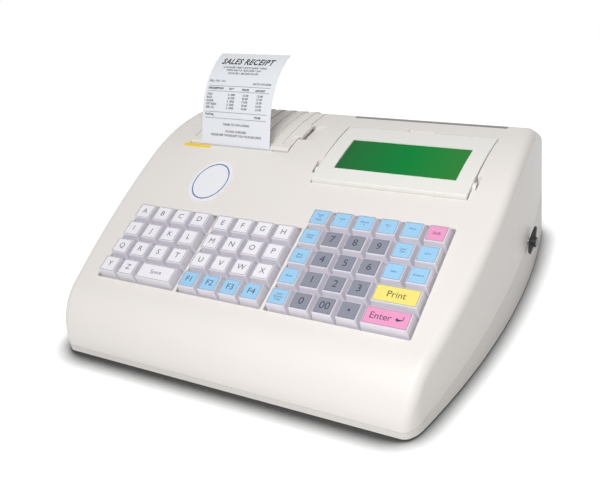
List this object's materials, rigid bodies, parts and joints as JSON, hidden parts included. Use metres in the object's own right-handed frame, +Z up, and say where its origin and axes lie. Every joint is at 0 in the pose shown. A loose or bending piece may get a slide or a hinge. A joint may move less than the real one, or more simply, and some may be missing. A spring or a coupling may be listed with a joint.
{
  "type": "ticket register",
  "caption": "Counter billing register with a sloping keyboard, tilting operator display, ribbed receipt printer lid, paper feed knob and rear customer window.",
  "frame": {"origin": "middle of the casing's footprint, on the underside of the middle foot", "axes": "+Z up, +Y from the operator's side towards the customer's side, +X to the operator's right"},
  "size_m": [0.3425, 0.3135, 0.1788],
  "materials": {
    "casing_cream": "fine satin grain",
    "tray_grey_cream": "fine satin grain",
    "key_white": "satin",
    "display_frame_cream": "satin",
    "display_filter": "green filter",
    "lcd_green": "backlit",
    "smoke_window": "gloss",
    "circuit_board": "solder mask",
    "black_plastic": "moulded",
    "dark_plastic": "moulded",
    "paper": "uncoated paper",
    "steel": "brushed",
    "zinc_plate": "plated sheet",
    "rubber_black": "matt",
    "gear_white": "moulded",
    "battery_wrap": "heat-shrink film",
    "ceramic_head": "glazed"
  },
  "bodies": {
    "casing": {"base_tray": "tray_grey_cream", "top_cover": "casing_cream", "rubber_feet": "rubber_black", "case_screws": "steel", "small_screws": "steel", "key_plate": "zinc_plate", "keyboard_board": "circuit_board", "key_switches": "black_plastic", "customer_window": "smoke_window", "customer_display": "dark_plastic", "lid_hinge_pins": "steel", "tear_bar": "steel", "paper_web": "paper", "printer_frame": "zinc_plate", "print_head": "ceramic_head", "feed_motor": "steel", "shaft_bushes": "gear_white", "rear_sockets": "black_plastic", "main_board": "circuit_board", "battery_pack": "battery_wrap", "switch_bezel": "black_plastic"},
    "lid": {"printer_lid": "casing_cream", "receipt_paper": "paper"},
    "display": {"display_frame": "display_frame_cream", "display_back": "display_frame_cream", "display_window": "display_filter", "lcd_panel": "lcd_green", "display_pivot_pins": "steel"},
    "knob": {"feed_knob": "black_plastic", "feed_shaft": "steel", "feed_gear": "gear_white"},
    "idler": {"idler_gear": "gear_white"},
    "platen": {"platen_roller": "rubber_black", "platen_shaft": "steel", "platen_gear": "gear_white"},
    "pinion": {"motor_pinion": "steel"},
    "roll": {"paper_roll": "paper", "roll_spindle": "dark_plastic"},
    "rocker": {"power_switch": "black_plastic"},
    "keys_a_to_h_cap": {"keys_a_to_h": "key_white"},
    "keys_i_to_p_cap": {"keys_i_to_p": "key_white"},
    "keys_q_to_z_cap": {"keys_q_to_z": "key_white"},
    "key_space_cap": {"key_space": "key_white"},
    "keys_function_cap": {"keys_function": "key_white"},
    "keys_command_cap": {"keys_command": "key_white"},
    "key_shift_cap": {"key_shift": "key_white"},
    "key_print_cap": {"key_print": "key_white"},
    "key_enter_cap": {"key_enter": "key_white"},
    "key_0_cap": {"key_0": "key_white"},
    "key_00_cap": {"key_00": "key_white"},
    "key_point_cap": {"key_point": "key_white"},
    "key_1_cap": {"key_1": "key_white"},
    "key_2_cap": {"key_2": "key_white"},
    "key_3_cap": {"key_3": "key_white"},
    "key_4_cap": {"key_4": "key_white"},
    "key_5_cap": {"key_5": "key_white"},
    "key_6_cap": {"key_6": "key_white"},
    "key_7_cap": {"key_7": "key_white"},
    "key_8_cap": {"key_8": "key_white"},
    "key_9_cap": {"key_9": "key_white"}
  },
  "joints": [
    {"name": "lid_hinge", "type": "hinge", "parent": "casing", "child": "lid", "pos_m": [-0.082, 0.1126, 0.1096], "axis": [-1, 0, 0], "range_deg": [0, 85]},
    {"name": "display_tilt", "type": "hinge", "parent": "casing", "child": "display", "pos_m": [0.07325, 0.0135, 0.103], "axis": [1, 0, 0], "range_deg": [0, 40]},
    {"name": "knob_turn", "type": "hinge", "parent": "casing", "child": "knob", "pos_m": [0.17, 0.059, 0.0385], "axis": [1, 0, 0], "continuous": true},
    {"name": "power_rocker", "type": "hinge", "parent": "casing", "child": "rocker", "pos_m": [-0.06, 0.151, 0.026], "axis": [1, 0, 0], "range_deg": [-18, 0]},
    {"name": "platen_turn", "type": "hinge", "parent": "casing", "child": "platen", "pos_m": [-0.08, 0.0353, 0.088], "axis": [1, 0, 0], "continuous": true},
    {"name": "idler_turn", "type": "hinge", "parent": "casing", "child": "idler", "pos_m": [-0.029, 0.04878, 0.06403], "axis": [1, 0, 0], "continuous": true},
    {"name": "pinion_turn", "type": "hinge", "parent": "casing", "child": "pinion", "pos_m": [-0.027, 0.0563, 0.088], "axis": [1, 0, 0], "continuous": true},
    {"name": "roll_turn", "type": "hinge", "parent": "casing", "child": "roll", "pos_m": [-0.0847, 0.07, 0.07], "axis": [1, 0, 0], "continuous": true},
    {"name": "keys_a_to_h_press", "type": "slide", "parent": "casing", "child": "keys_a_to_h_cap", "axis": [0, 0.3811, -0.9245], "range_m": [0, 0.0035], "stiffness_N_per_m": 170, "springref_m": -0.003},
    {"name": "keys_i_to_p_press", "type": "slide", "parent": "casing", "child": "keys_i_to_p_cap", "axis": [0, 0.3811, -0.9245], "range_m": [0, 0.0035], "stiffness_N_per_m": 170, "springref_m": -0.003},
    {"name": "keys_q_to_z_press", "type": "slide", "parent": "casing", "child": "keys_q_to_z_cap", "axis": [0, 0.3811, -0.9245], "range_m": [0, 0.0035], "stiffness_N_per_m": 170, "springref_m": -0.003},
    {"name": "key_space_press", "type": "slide", "parent": "casing", "child": "key_space_cap", "axis": [0, 0.3811, -0.9245], "range_m": [0, 0.0035], "stiffness_N_per_m": 170, "springref_m": -0.003},
    {"name": "keys_function_press", "type": "slide", "parent": "casing", "child": "keys_function_cap", "axis": [0, 0.3811, -0.9245], "range_m": [0, 0.0035], "stiffness_N_per_m": 170, "springref_m": -0.003},
    {"name": "keys_command_press", "type": "slide", "parent": "casing", "child": "keys_command_cap", "axis": [0, 0.3811, -0.9245], "range_m": [0, 0.0035], "stiffness_N_per_m": 170, "springref_m": -0.003},
    {"name": "key_shift_press", "type": "slide", "parent": "casing", "child": "key_shift_cap", "axis": [0, 0.3811, -0.9245], "range_m": [0, 0.0035], "stiffness_N_per_m": 170, "springref_m": -0.003},
    {"name": "key_print_press", "type": "slide", "parent": "casing", "child": "key_print_cap", "axis": [0, 0.3811, -0.9245], "range_m": [0, 0.0035], "stiffness_N_per_m": 170, "springref_m": -0.003},
    {"name": "key_enter_press", "type": "slide", "parent": "casing", "child": "key_enter_cap", "axis": [0, 0.3811, -0.9245], "range_m": [0, 0.0035], "stiffness_N_per_m": 170, "springref_m": -0.003},
    {"name": "key_0_press", "type": "slide", "parent": "casing", "child": "key_0_cap", "axis": [0, 0.3811, -0.9245], "range_m": [0, 0.0035], "stiffness_N_per_m": 170, "springref_m": -0.003},
    {"name": "key_00_press", "type": "slide", "parent": "casing", "child": "key_00_cap", "axis": [0, 0.3811, -0.9245], "range_m": [0, 0.0035], "stiffness_N_per_m": 170, "springref_m": -0.003},
    {"name": "key_point_press", "type": "slide", "parent": "casing", "child": "key_point_cap", "axis": [0, 0.3811, -0.9245], "range_m": [0, 0.0035], "stiffness_N_per_m": 170, "springref_m": -0.003},
    {"name": "key_1_press", "type": "slide", "parent": "casing", "child": "key_1_cap", "axis": [0, 0.3811, -0.9245], "range_m": [0, 0.0035], "stiffness_N_per_m": 170, "springref_m": -0.003},
    {"name": "key_2_press", "type": "slide", "parent": "casing", "child": "key_2_cap", "axis": [0, 0.3811, -0.9245], "range_m": [0, 0.0035], "stiffness_N_per_m": 170, "springref_m": -0.003},
    {"name": "key_3_press", "type": "slide", "parent": "casing", "child": "key_3_cap", "axis": [0, 0.3811, -0.9245], "range_m": [0, 0.0035], "stiffness_N_per_m": 170, "springref_m": -0.003},
    {"name": "key_4_press", "type": "slide", "parent": "casing", "child": "key_4_cap", "axis": [0, 0.3811, -0.9245], "range_m": [0, 0.0035], "stiffness_N_per_m": 170, "springref_m": -0.003},
    {"name": "key_5_press", "type": "slide", "parent": "casing", "child": "key_5_cap", "axis": [0, 0.3811, -0.9245], "range_m": [0, 0.0035], "stiffness_N_per_m": 170, "springref_m": -0.003},
    {"name": "key_6_press", "type": "slide", "parent": "casing", "child": "key_6_cap", "axis": [0, 0.3811, -0.9245], "range_m": [0, 0.0035], "stiffness_N_per_m": 170, "springref_m": -0.003},
    {"name": "key_7_press", "type": "slide", "parent": "casing", "child": "key_7_cap", "axis": [0, 0.3811, -0.9245], "range_m": [0, 0.0035], "stiffness_N_per_m": 170, "springref_m": -0.003},
    {"name": "key_8_press", "type": "slide", "parent": "casing", "child": "key_8_cap", "axis": [0, 0.3811, -0.9245], "range_m": [0, 0.0035], "stiffness_N_per_m": 170, "springref_m": -0.003},
    {"name": "key_9_press", "type": "slide", "parent": "casing", "child": "key_9_cap", "axis": [0, 0.3811, -0.9245], "range_m": [0, 0.0035], "stiffness_N_per_m": 170, "springref_m": -0.003}
  ],
  "couplings": [
    {"joint": "idler_turn", "follows": "knob_turn", "ratio": -1.037},
    {"joint": "platen_turn", "follows": "knob_turn", "ratio": 1},
    {"joint": "pinion_turn", "follows": "knob_turn", "ratio": -2},
    {"joint": "roll_turn", "follows": "knob_turn", "ratio": 0.23333}
  ]
}
